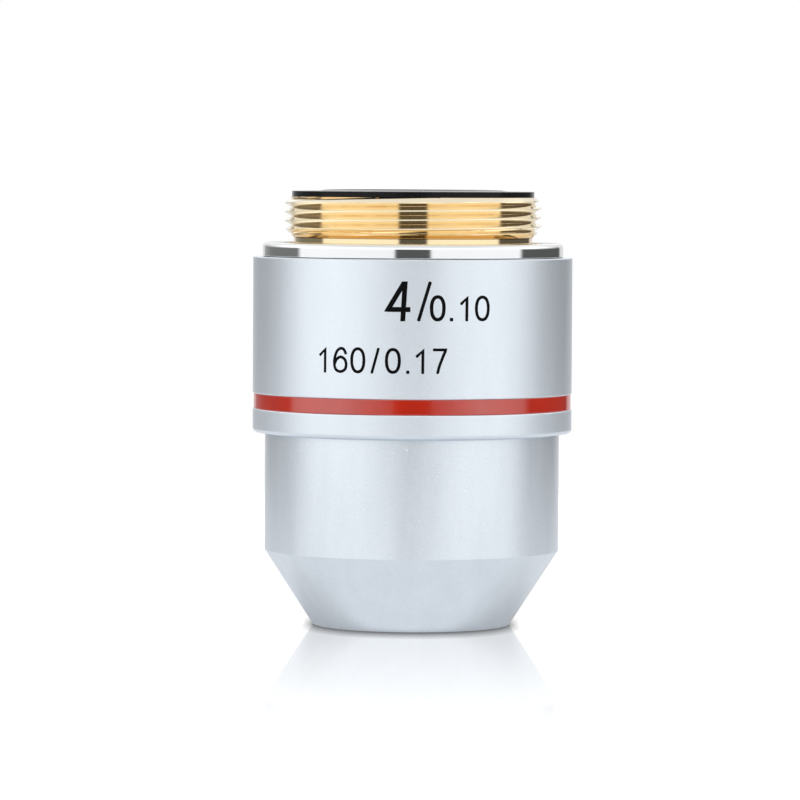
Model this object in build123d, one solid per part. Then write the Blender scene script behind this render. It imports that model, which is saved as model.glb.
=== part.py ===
from build123d import *
import math
import os

# Low-power microscope objective: a turned body with a standard objective thread, and inside it a lens
# tube with five lenses in three cells. Lengths are millimetres and angles degrees. The optical axis is
# Z, z = 0 is the shoulder that seats under the nosepiece, and +Z points up the tube to the eyepiece.

# Mounting thread and shoulder
thread_diameter = 20.24
thread_length = 3.66
thread_lead = 0.45
relief_height = 0.70
relief_depth = 0.72
undercut_depth = 0.15
undercut_margin = 0.18
shoulder_width = 1.73
flange_height = 1.04
flange_round = 0.25
rear_wall = 1.40
rear_bore_floor = 0.55

# Outer sleeve and its colour band
sleeve_length = 13.88
sleeve_overhang = 0.75
sleeve_chamfer = 0.15
sleeve_round = 0.30
band_width = 1.20
band_height = 1.87
band_depth = 0.35
band_recess = 0.05

# Nose barrel and the collar that screws it to the mount
nose_length = 15.23
nose_inset = 1.00
nose_wall = 1.30
nose_ledge = 0.40
cone_half_angle = 33.0
front_wall = 1.10
front_rim_width = 1.35
front_round = 0.25
front_hole_chamfer = 0.20
collar_height = 5.40
collar_wall = 1.08
collar_headroom = 0.40
pilot_step = 0.50
skirt_engagement = 4.40
skirt_lead = 0.30
skirt_runout = 0.80

# Rear ring, a black glare stop screwed into the top of the mount
rear_ring_inset = 0.57
rear_ring_height = 0.51
rear_ring_chamfer = 0.10
rear_ring_neck = 1.20
rear_ring_wall = 1.38
rear_ring_bore_chamfer = 0.30
rear_slot_length = 1.60
rear_slot_width = 1.00

# Lens tube, and the rings that hold it and its stack of cells
tube_wall = 1.00
tube_thread_step = 0.50
tube_thread_length = 6.00
tube_rim = 0.40
tube_shelf = 1.40
tube_front_wall = 1.08
tube_front_margin = 0.80
mount_relief_step = 0.30
mount_relief_gap = 0.30
lock_ring_height = 1.00
lock_ring_width = 1.10
stack_ring_height = 1.20
stack_ring_width = 1.10
slot_width = 0.70
slot_depth = 0.35
groove_depth = 0.45
groove_width = 0.50
groove_pitch = 1.00

# Cells and lens retainers
cell_wall = 0.60
cell_lip = 0.60
seat_width = 0.60
retainer_step = 0.38
retainer_height = 0.80
retainer_inset = 0.45
retainer_runout = 0.25
retainer_recess = 0.15
front_lip = 0.50
front_recess = 0.55
front_flange_height = 1.00
front_bore_headroom = 0.30
stop_thickness = 0.20
stop_diameter = 6.60

# Lenses, from the front. Each curved face has its centre below it, and the rear crown starts flat.
front_lens_diameter = 8.40
front_lens_thickness = 2.40
front_lower_radius = 45.40
front_upper_radius = 22.62
front_air = 10.24
meniscus_diameter = 8.00
meniscus_flint_thickness = 1.50
meniscus_crown_thickness = 3.00
meniscus_lower_radius = 6.19
meniscus_cement_radius = 7.75
meniscus_upper_radius = 8.12
rear_air = 3.30
rear_lens_diameter = 9.60
rear_crown_thickness = 3.00
rear_flint_thickness = 1.50
rear_cement_radius = 8.28
rear_upper_radius = 16.16

# Radial clearances
screw_clearance = 0.02
slide_clearance = 0.02
lens_clearance = 0.02
collar_clearance = 0.05
front_clearance = 0.10


def drop(radius, height):
    """How far a spherical face falls below its vertex at a height from the axis."""
    return radius - math.sqrt(radius**2 - height**2)


# Lens, cell and tube radii, from the glass outwards
front_lens_half = front_lens_diameter / 2
meniscus_half = meniscus_diameter / 2
rear_lens_half = rear_lens_diameter / 2
front_screw = front_lens_half + lens_clearance + retainer_step
meniscus_screw = meniscus_half + lens_clearance + retainer_step
rear_screw = rear_lens_half + lens_clearance + retainer_step
cell_radius = rear_screw + cell_wall
tube_bore = cell_radius + slide_clearance
tube_radius = tube_bore + tube_wall
tube_thread_radius = tube_radius + tube_thread_step
front_cell_radius = front_screw + cell_wall
front_bore = front_cell_radius + screw_clearance
tube_front_radius = front_bore + tube_front_wall
baffle_bore = cell_radius - tube_shelf

# Body radii, from the thread outwards and then back in to the collar
thread_radius = thread_diameter / 2
relief_radius = thread_radius - relief_depth
undercut_radius = thread_radius + undercut_margin
flange_radius = thread_radius + shoulder_width
rear_bore = relief_radius - rear_wall
tube_screw = tube_thread_radius + screw_clearance
sleeve_radius = flange_radius + sleeve_overhang
nose_radius = sleeve_radius - nose_inset
band_floor = sleeve_radius - band_depth
collar_radius = nose_radius - nose_ledge
collar_bore = collar_radius - collar_wall
skirt_radius = collar_bore - screw_clearance
pilot_radius = skirt_radius + pilot_step
front_hole = tube_front_radius + front_clearance
nose_front_radius = front_hole + front_rim_width
cone_slope = math.tan(math.radians(cone_half_angle))

# Body heights, from the shoulder down
sleeve_top = -flange_height
sleeve_bottom = sleeve_top - sleeve_length
band_bottom = sleeve_bottom + band_height
band_top = band_bottom + band_width
collar_top = sleeve_bottom + collar_height
pilot_end = collar_top + collar_headroom
skirt_end = collar_top - skirt_engagement
nose_front = sleeve_bottom - nose_length
cone_top = nose_front + (nose_radius - nose_front_radius) / cone_slope

# Lens train heights, from the front face up
front_cell_bottom = nose_front + front_recess
tube_end = front_cell_bottom + front_flange_height
front_seat = front_cell_bottom + front_lip
front_vertex = front_seat + drop(front_lower_radius, front_lens_half - seat_width)
front_top = front_vertex + front_lens_thickness
front_retainer_bottom = front_top - drop(front_upper_radius, front_lens_half - retainer_inset)
front_cell_top = front_retainer_bottom + retainer_height + retainer_recess
front_bore_top = front_cell_top + front_bore_headroom
meniscus_vertex = front_top + front_air
meniscus_seat = meniscus_vertex - drop(meniscus_lower_radius, meniscus_half - seat_width)
middle_cell_bottom = meniscus_seat - cell_lip
meniscus_cement = meniscus_vertex + meniscus_flint_thickness
meniscus_top = meniscus_cement + meniscus_crown_thickness
middle_retainer_bottom = meniscus_top - drop(meniscus_upper_radius, meniscus_half - retainer_inset)
middle_cell_top = middle_retainer_bottom + retainer_height + retainer_recess
stop_top = middle_cell_top + stop_thickness
rear_seat = meniscus_top + rear_air
rear_cell_bottom = rear_seat - cell_lip
rear_cement = rear_seat + rear_crown_thickness
rear_top = rear_cement + rear_flint_thickness
rear_retainer_bottom = rear_top - drop(rear_upper_radius, rear_lens_half - retainer_inset)
rear_cell_top = rear_retainer_bottom + retainer_height + retainer_recess
stack_ring_top = rear_cell_top + stack_ring_height
tube_top = stack_ring_top + tube_rim
lock_ring_top = tube_top + lock_ring_height
tube_thread_end = tube_top - tube_thread_length


def turned(*corners):
    """Solid of revolution about Z from corners (radius, z) or (radius, z, edge round)."""
    points = [corner[:2] for corner in corners]
    rounds = [corner[2] if len(corner) > 2 else 0 for corner in corners]
    outline = FilletPolyline(*points, radius=rounds, close=True)
    return revolve(Plane.XZ * make_face(outline), Axis.Z)


def ring(inner, outer, bottom, top):
    """Plain ring about Z with square edges."""
    return turned((inner, bottom), (outer, bottom), (outer, top), (inner, top))


def bore(radius, bottom, top):
    """Round plug about Z, to cut a bore with."""
    return Pos(0, 0, bottom) * extrude(Circle(radius), top - bottom)


def spanner_slots(top, depth, width, reach):
    """Bar across the axis that cuts a pair of spanner slots into a ring's top face."""
    return Pos(0, 0, top - depth / 2) * Box(2 * reach, width, depth)


def lens_face(radius, vertex, height):
    """Section of a lens face from the axis out, or a straight line where the radius is None."""
    if radius is None:
        return Line((0, vertex), (height, vertex))
    middle = (height / 2, vertex - drop(radius, height / 2))
    return ThreePointArc((0, vertex), middle, (height, vertex - drop(radius, height)))


def lens(vertex, thickness, half, lower_radius, upper_radius, bevel=0):
    """Lens with its lower vertex on the axis, and a flat bevel round a hollow lower face."""
    lower = lens_face(lower_radius, vertex, half - bevel)
    upper = lens_face(upper_radius, vertex + thickness, half)
    flat = [Line(lower @ 1, (half, (lower @ 1).Y))] if bevel else []
    rim = Line((half, (lower @ 1).Y), upper @ 1)
    axis = Line((0, vertex), (0, vertex + thickness))
    return revolve(Plane.XZ * make_face([lower, *flat, rim, upper, axis]), Axis.Z)


def lens_cell(outer, half, bottom, seat, retainer_bottom, screw, top):
    """Cup with a lip that seats a lens, a bore that centres it and a wider bore for its retainer."""
    clear = half - seat_width
    lens_bore = half + lens_clearance
    screw_start = retainer_bottom - retainer_runout
    cup = ring(clear, outer, bottom, top)
    return cup - bore(lens_bore, seat, top) - bore(screw, screw_start, top)


def lens_retainer(half, bottom, screw):
    """Screwed ring whose inner edge bears on the lens's upper face."""
    top = bottom + retainer_height
    body = ring(half - retainer_inset, screw - screw_clearance, bottom, top)
    return body - spanner_slots(top, slot_depth, slot_width, screw)


def mount_body():
    """Turned mount: thread, relief undercut, shoulder flange, sleeve pilot and nose thread."""
    outside = turned(
        (0, thread_length),
        (thread_radius - thread_lead, thread_length),
        (thread_radius, thread_length - thread_lead),
        (thread_radius, relief_height),
        (relief_radius, relief_height),
        (relief_radius, -undercut_depth),
        (undercut_radius, -undercut_depth),
        (undercut_radius, 0),
        (flange_radius, 0, flange_round),
        (flange_radius, sleeve_top),
        (pilot_radius, sleeve_top),
        (pilot_radius, pilot_end),
        (skirt_radius, pilot_end),
        (skirt_radius, skirt_end + skirt_lead),
        (skirt_radius - skirt_lead, skirt_end),
        (0, skirt_end),
    )
    wide_bore = bore(rear_bore, -rear_bore_floor, thread_length)
    screw_bore = bore(tube_screw, skirt_end, -rear_bore_floor)
    relief_bore = bore(tube_screw + mount_relief_step, skirt_end, tube_thread_end - mount_relief_gap)
    return outside - wide_bore - screw_bore - relief_bore


def outer_sleeve():
    """Sleeve on the mount's pilot, counterbored for the nose collar and grooved for the band."""
    body = turned(
        (pilot_radius + slide_clearance, sleeve_top),
        (sleeve_radius - sleeve_chamfer, sleeve_top),
        (sleeve_radius, sleeve_top - sleeve_chamfer),
        (sleeve_radius, sleeve_bottom, sleeve_round),
        (pilot_radius + slide_clearance, sleeve_bottom),
    )
    counterbore = bore(collar_radius + collar_clearance, sleeve_bottom, pilot_end)
    groove = ring(band_floor, sleeve_radius + band_depth, band_bottom, band_top)
    return body - counterbore - groove


def magnification_band():
    """Ring of enamel that fills the sleeve's groove, a little below the surface."""
    return ring(band_floor, sleeve_radius - band_recess, band_bottom, band_top)


def nose_barrel():
    """Nose with its screwed collar, ledge under the sleeve, cone and front rim, bored to one wall."""
    outside = turned(
        (0, collar_top),
        (collar_radius, collar_top),
        (collar_radius, sleeve_bottom),
        (nose_radius, sleeve_bottom),
        (nose_radius, cone_top),
        (nose_front_radius, nose_front, front_round),
        (0, nose_front),
    )
    bore_radius = nose_radius - nose_wall
    bore_top = skirt_end - skirt_runout
    floor = nose_front + front_wall
    inner_cone_top = cone_top + nose_wall * math.tan(math.radians(cone_half_angle / 2))
    inner_cone_end = bore_radius - (inner_cone_top - floor) * cone_slope
    inside = turned(
        (0, bore_top),
        (bore_radius, bore_top),
        (bore_radius, inner_cone_top),
        (inner_cone_end, floor),
        (0, floor),
    )
    screw_bore = bore(collar_bore, bore_top, collar_top)
    chamfered_hole = turned(
        (0, nose_front),
        (front_hole + front_hole_chamfer, nose_front),
        (front_hole, nose_front + front_hole_chamfer),
        (front_hole, floor),
        (0, floor),
    )
    return outside - inside - screw_bore - chamfered_hole


def rear_ring():
    """Black flanged ring on the mount's top face, with two spanner slots that stop short of its edge."""
    top = thread_length + rear_ring_height
    outer = thread_radius - rear_ring_inset
    neck = rear_bore - screw_clearance
    inner = neck - rear_ring_wall
    body = turned(
        (inner, thread_length - rear_ring_neck),
        (neck, thread_length - rear_ring_neck),
        (neck, thread_length),
        (outer, thread_length),
        (outer, top - rear_ring_chamfer),
        (outer - rear_ring_chamfer, top),
        (inner + rear_ring_bore_chamfer, top),
        (inner, top - rear_ring_bore_chamfer),
    )
    return body - spanner_slots(top, slot_depth, rear_slot_width, inner + rear_slot_length)


def glare_grooves():
    """Rings that cut glare grooves into the tube's bore between the front cell and the shelf."""
    first = front_bore_top + groove_pitch - groove_width
    count = int((middle_cell_bottom - first) / groove_pitch)
    bottoms = [first + index * groove_pitch for index in range(count)]
    deep = baffle_bore + groove_depth
    return [ring(baffle_bore - groove_depth, deep, low, low + groove_width) for low in bottoms]


def lens_tube():
    """Tube with its focusing thread on top, the stack bore and shelf, and the front cell's thread."""
    step = front_bore_top + tube_front_margin
    outside = turned(
        (0, tube_top),
        (tube_thread_radius, tube_top),
        (tube_thread_radius, tube_thread_end),
        (tube_radius, tube_thread_end),
        (tube_radius, step),
        (tube_front_radius, step),
        (tube_front_radius, tube_end),
        (0, tube_end),
    )
    stack_bore = bore(tube_bore, middle_cell_bottom, tube_top)
    through_bore = bore(baffle_bore, tube_end, middle_cell_bottom)
    screw_bore = bore(front_bore, tube_end, front_bore_top)
    tube = outside - stack_bore - through_bore - screw_bore
    for groove in glare_grooves():
        tube -= groove
    return tube


def parfocal_lock_ring():
    """Screwed ring that locks the tube at its focusing height in the mount."""
    inner = tube_thread_radius - lock_ring_width
    body = ring(inner, tube_thread_radius, tube_top, lock_ring_top)
    return body - spanner_slots(lock_ring_top, slot_depth, slot_width, tube_screw)


def stack_retaining_ring():
    """Screwed ring that clamps the two cells and their spacer down on the tube's shelf."""
    body = ring(cell_radius - stack_ring_width, cell_radius, rear_cell_top, stack_ring_top)
    return body - spanner_slots(stack_ring_top, slot_depth, slot_width, tube_bore)


def front_cell():
    """Cell of the front lens, screwed into the tube's end up to a flange that shows in the nose."""
    cup = lens_cell(
        front_cell_radius, front_lens_half, front_cell_bottom, front_seat,
        front_retainer_bottom, front_screw, front_cell_top,
    )
    return cup + ring(front_cell_radius, tube_front_radius, front_cell_bottom, tube_end)


def middle_cell():
    """Cell of the cemented meniscus, standing on the tube's shelf."""
    return lens_cell(
        cell_radius, meniscus_half, middle_cell_bottom, meniscus_seat,
        middle_retainer_bottom, meniscus_screw, middle_cell_top,
    )


def rear_cell():
    """Cell of the rear cemented doublet."""
    return lens_cell(
        cell_radius, rear_lens_half, rear_cell_bottom, rear_seat,
        rear_retainer_bottom, rear_screw, rear_cell_top,
    )


def aperture_stop():
    """Thin disc on the middle cell whose hole sets the objective's aperture."""
    return ring(stop_diameter / 2, cell_radius, middle_cell_top, stop_top)


def rear_spacer():
    """Ring between the aperture stop and the rear cell that sets the rear air space."""
    return ring(cell_radius - cell_wall, cell_radius, stop_top, rear_cell_bottom)


def front_lens():
    """Front meniscus."""
    return lens(
        front_vertex, front_lens_thickness, front_lens_half,
        front_lower_radius, front_upper_radius, seat_width,
    )


def meniscus_flint_lens():
    """Hollow lower half of the cemented meniscus."""
    return lens(
        meniscus_vertex, meniscus_flint_thickness, meniscus_half,
        meniscus_lower_radius, meniscus_cement_radius, seat_width,
    )


def meniscus_crown_lens():
    """Upper half of the cemented meniscus."""
    return lens(
        meniscus_cement, meniscus_crown_thickness, meniscus_half,
        meniscus_cement_radius, meniscus_upper_radius,
    )


def rear_crown_lens():
    """Flat-based lower half of the rear doublet."""
    return lens(rear_seat, rear_crown_thickness, rear_lens_half, None, rear_cement_radius)


def rear_flint_lens():
    """Upper half of the rear doublet."""
    return lens(
        rear_cement, rear_flint_thickness, rear_lens_half,
        rear_cement_radius, rear_upper_radius,
    )


pieces = {
    "mount_body": mount_body(),
    "outer_sleeve": outer_sleeve(),
    "magnification_band": magnification_band(),
    "nose_barrel": nose_barrel(),
    "rear_ring": rear_ring(),
    "lens_tube": lens_tube(),
    "parfocal_lock_ring": parfocal_lock_ring(),
    "stack_retaining_ring": stack_retaining_ring(),
    "front_cell": front_cell(),
    "front_lens": front_lens(),
    "front_lens_retainer": lens_retainer(front_lens_half, front_retainer_bottom, front_screw),
    "middle_cell": middle_cell(),
    "meniscus_flint_lens": meniscus_flint_lens(),
    "meniscus_crown_lens": meniscus_crown_lens(),
    "middle_lens_retainer": lens_retainer(meniscus_half, middle_retainer_bottom, meniscus_screw),
    "aperture_stop": aperture_stop(),
    "rear_spacer": rear_spacer(),
    "rear_cell": rear_cell(),
    "rear_crown_lens": rear_crown_lens(),
    "rear_flint_lens": rear_flint_lens(),
    "rear_lens_retainer": lens_retainer(rear_lens_half, rear_retainer_bottom, rear_screw),
}

os.makedirs("parts", exist_ok=True)
for name, piece in pieces.items():
    export_step(piece, f"parts/{name}.step")
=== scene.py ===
"""Dressed model of a low-power microscope objective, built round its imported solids.

Lengths in the classes are millimetres in the part's own frame: Z is the optical axis, z = 0 is the
shoulder under the nosepiece, and the figures face -Y. Meshes are written in metres, and each piece has
its place in its mesh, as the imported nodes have.
"""

import logging
import math
from abc import ABC, abstractmethod
from collections.abc import Iterable, Sequence
from dataclasses import dataclass
from enum import Enum

import bmesh
import bpy
import numpy as np
from mathutils import Matrix, Vector


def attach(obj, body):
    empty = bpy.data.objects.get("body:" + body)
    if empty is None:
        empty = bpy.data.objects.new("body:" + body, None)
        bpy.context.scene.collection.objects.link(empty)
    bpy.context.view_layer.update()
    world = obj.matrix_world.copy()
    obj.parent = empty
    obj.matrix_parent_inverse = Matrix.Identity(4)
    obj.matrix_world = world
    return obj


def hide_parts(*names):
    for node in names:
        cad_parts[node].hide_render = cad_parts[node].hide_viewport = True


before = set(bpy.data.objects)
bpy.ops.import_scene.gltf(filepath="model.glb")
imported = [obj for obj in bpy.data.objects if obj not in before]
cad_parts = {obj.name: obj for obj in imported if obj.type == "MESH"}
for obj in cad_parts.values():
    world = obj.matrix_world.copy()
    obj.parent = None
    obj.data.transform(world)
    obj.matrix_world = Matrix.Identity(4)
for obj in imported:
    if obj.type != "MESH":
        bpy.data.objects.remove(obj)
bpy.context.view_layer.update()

LOG = logging.getLogger("objective")
BODY = "root"
MM = 0.001
TAU = 2.0 * math.pi
COLUMNS = 320
GLASS_COLUMNS = 160
TABLE_COLUMNS = 96
WELD = 1e-7
TINY = 1e-6
NO_LENGTH = 1e-12
LEAST_HALF_ANGLE = 1e-3
SHARP_DEGREES = 36.0
MIX_COLOURS = 6
MIX_RESULT = 2
WHITE = (1.0, 1.0, 1.0, 1.0)
Colour = tuple[float, float, float]
Pair = tuple[float, float]
Stops = Sequence[Pair]
Corners = Sequence[Sequence[float]]
Socket = bpy.types.NodeSocket


def rounded_path(corners: Corners, closed: bool = True, steps: int = 6, hold: float = 0.04) -> np.ndarray:
    """Line through corner points, with each corner turned into a tangent arc.

    An arc starts and ends at radius / tan(half the corner's angle) along the corner's two sides, and its
    centre is on the bisector, radius / sin(half the angle) away. One more point just outside each end of
    the arc keeps the shading of the flat sides apart from the shading of the arc.

    Args:
        corners: Rows of first coordinate, second coordinate and, for a round corner, its radius.
        closed: Whether the last corner joins the first.
        steps: Straight pieces in each arc.
        hold: Most distance of the outer points from their arc, which is a quarter of its radius.

    Returns:
        Points of the line, one in each row.
    """
    table = np.array([(*corner, 0.0)[:3] for corner in corners], float)
    point, radius = table[:, :2], table[:, 2].copy()
    if not closed:
        radius[[0, -1]] = 0.0
    back = np.roll(point, 1, axis=0) - point
    ahead = np.roll(point, -1, axis=0) - point
    back /= np.linalg.norm(back, axis=1, keepdims=True)
    ahead /= np.linalg.norm(ahead, axis=1, keepdims=True)
    half = 0.5 * np.arccos(np.clip((back * ahead).sum(axis=1), -1.0, 1.0))
    half = np.clip(half, LEAST_HALF_ANGLE, 0.5 * math.pi - TINY)
    bisector = back + ahead
    bisector /= np.maximum(np.linalg.norm(bisector, axis=1, keepdims=True), NO_LENGTH)
    centre = point + bisector * (radius / np.sin(half))[:, None]
    reach = (radius / np.tan(half))[:, None]
    start, end = point + back * reach, point + ahead * reach
    first = np.arctan2(*(start - centre).T[::-1])
    last = np.arctan2(*(end - centre).T[::-1])
    sweep = (last - first + math.pi) % TAU - math.pi
    angle = first[:, None] + sweep[:, None] * np.linspace(0.0, 1.0, steps + 1)
    arcs = centre[:, None] + radius[:, None, None] * np.stack([np.cos(angle), np.sin(angle)], axis=-1)
    gap = np.minimum(0.25 * radius, hold)[:, None]
    lead, tail = start + back * gap, end + ahead * gap
    line = np.concatenate([lead[:, None], arcs, tail[:, None]], axis=1).reshape(-1, 2)
    keep = np.linalg.norm(line - np.roll(line, 1, axis=0), axis=1) > TINY
    keep[0] = keep[0] or not closed
    return line[keep]


def spherical_face(radius: float, vertex: float, half: float, steps: int = 40) -> np.ndarray:
    """Section of a lens face from the axis out: z = vertex - (R - sqrt(R^2 - r^2)), or flat for R = 0.

    Args:
        radius: Radius of the face, whose centre lies below it; 0 for a flat face.
        vertex: Height of the face on the axis.
        half: Half the face's diameter.
        steps: Straight pieces in the section.

    Returns:
        Rows of distance from the axis and height.
    """
    out = np.linspace(0.0, half, steps + 1)
    fall = radius - np.sqrt(radius**2 - out**2) if radius else np.zeros_like(out)
    return np.stack([out, vertex - fall], axis=1)


def polar(out: np.ndarray, angle: np.ndarray, height: np.ndarray) -> np.ndarray:
    """Points at x = r cos a, y = r sin a and their height, from arrays that spread to one grid."""
    return np.stack(np.broadcast_arrays(out * np.cos(angle), out * np.sin(angle), height), axis=-1)


def revolved(profile: np.ndarray, columns: int = COLUMNS) -> np.ndarray:
    """Profile carried round the axis, by evenly spaced angles.

    Args:
        profile: Rows of distance from the axis and height.
        columns: Number of angles.

    Returns:
        Grid of points, a row for each profile point and a column for each angle.
    """
    return polar(profile[:, :1], np.arange(columns) * TAU / columns, profile[:, 1:])


@dataclass(frozen=True)
class SlotPair:
    """Two spanner slots on a line through the axis, cut down from a ring's top face."""

    width: float
    floor: float
    reach: float

    def cut(self, profile: np.ndarray, slot_columns: int = 7, land_columns: int = 150) -> np.ndarray:
        """Ring's profile carried round the axis, lowered to the floor inside the slots.

        At radius r the slot's edge is at the angle asin(width / 2r), so the columns follow the slot's
        parallel sides. Each side has two columns, one lowered and one not, with the slot's wall between.

        Args:
            profile: Closed profile of the ring, with a point each side of the slots' reach.
            slot_columns: Columns across one slot.
            land_columns: Columns on one half ring between the slots.

        Returns:
            Grid of points, a row for each profile point.
        """
        out, height = profile[:, :1], profile[:, 1:]
        edge = np.arcsin(0.5 * self.width / out)
        across = np.arcsin(0.5 * self.width / out * np.linspace(-1.0, 1.0, slot_columns))
        land = edge + (math.pi - 2.0 * edge) * np.linspace(0.0, 1.0, land_columns)
        angle = np.concatenate([across, land, across + math.pi, land + math.pi], axis=1)
        low = np.where(out <= self.reach, np.minimum(height, self.floor), height)
        level = np.repeat([0.0, 1.0, 0.0, 1.0], [slot_columns, land_columns] * 2)
        return polar(out, angle, low + (height - low) * level)


@dataclass(frozen=True)
class Surface:
    """Points and four-cornered faces of one piece, with each face's finish by number."""

    points: np.ndarray
    quads: np.ndarray
    finish: np.ndarray

    @classmethod
    def from_grid(cls, grid: np.ndarray, ring_rows: bool = True, ring_columns: bool = True) -> "Surface":
        """Surface that joins each grid point to its neighbours.

        Args:
            grid: Points by row and column.
            ring_rows: Whether the last row joins the first.
            ring_columns: Whether the last column joins the first.

        Returns:
            The joined surface, all in finish 0.
        """
        index = np.arange(grid.shape[0] * grid.shape[1]).reshape(grid.shape[:2])
        right = np.roll(index, -1, axis=1)
        quads = np.stack([index, right, np.roll(right, -1, axis=0), np.roll(index, -1, axis=0)], axis=-1)
        quads = quads[: None if ring_rows else -1, : None if ring_columns else -1].reshape(-1, 4)
        return cls(grid.reshape(-1, 3), quads, np.zeros(len(quads), np.int32))

    @classmethod
    def turned(cls, corners: Corners) -> "Surface":
        """Closed section with rounded corners, turned round the axis."""
        return cls.from_grid(revolved(rounded_path(corners)))

    @classmethod
    def joined(cls, parts: Iterable["Surface"]) -> "Surface":
        """One surface that holds all the parts' faces."""
        items = list(parts)
        starts = np.cumsum([0] + [len(item.points) for item in items[:-1]])
        quads = np.concatenate([item.quads + start for item, start in zip(items, starts)])
        points = np.concatenate([item.points for item in items])
        return cls(points, quads, np.concatenate([item.finish for item in items]))

    def centres(self) -> np.ndarray:
        """Rows of distance from the axis and height of each face's middle."""
        middle = self.points[self.quads].mean(axis=1)
        return np.stack([np.hypot(middle[:, 0], middle[:, 1]), middle[:, 2]], axis=1)

    def finished(self, finish: np.ndarray) -> "Surface":
        """The same surface with another finish number on each face."""
        return Surface(self.points, self.quads, finish.astype(np.int32))

    def to_object(self, name: str, finishes: Sequence[bpy.types.Material]) -> bpy.types.Object:
        """Mesh object in metres, with doubles merged, faces outwards and hard corners marked.

        Args:
            name: Name of the piece and of its mesh.
            finishes: Materials in the order of the finish numbers.

        Returns:
            The linked object, at the origin.
        """
        mesh = bpy.data.meshes.new(name)
        mesh.vertices.add(len(self.points))
        mesh.vertices.foreach_set("co", (self.points * MM).astype(np.float32).ravel())
        mesh.loops.add(self.quads.size)
        mesh.loops.foreach_set("vertex_index", self.quads.astype(np.int32).ravel())
        mesh.polygons.add(len(self.quads))
        mesh.polygons.foreach_set("loop_start", np.arange(0, self.quads.size, 4, dtype=np.int32))
        mesh.polygons.foreach_set("material_index", self.finish)
        mesh.update(calc_edges=True)
        for material in finishes:
            mesh.materials.append(material)
        shape = bmesh.new()
        shape.from_mesh(mesh)
        bmesh.ops.remove_doubles(shape, verts=shape.verts, dist=WELD)
        bmesh.ops.recalc_face_normals(shape, faces=shape.faces)
        shape.to_mesh(mesh)
        shape.free()
        mesh.shade_smooth()
        mesh.set_sharp_from_angle(angle=math.radians(SHARP_DEGREES))
        obj = bpy.data.objects.new(name, mesh)
        bpy.context.scene.collection.objects.link(obj)
        return obj


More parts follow.
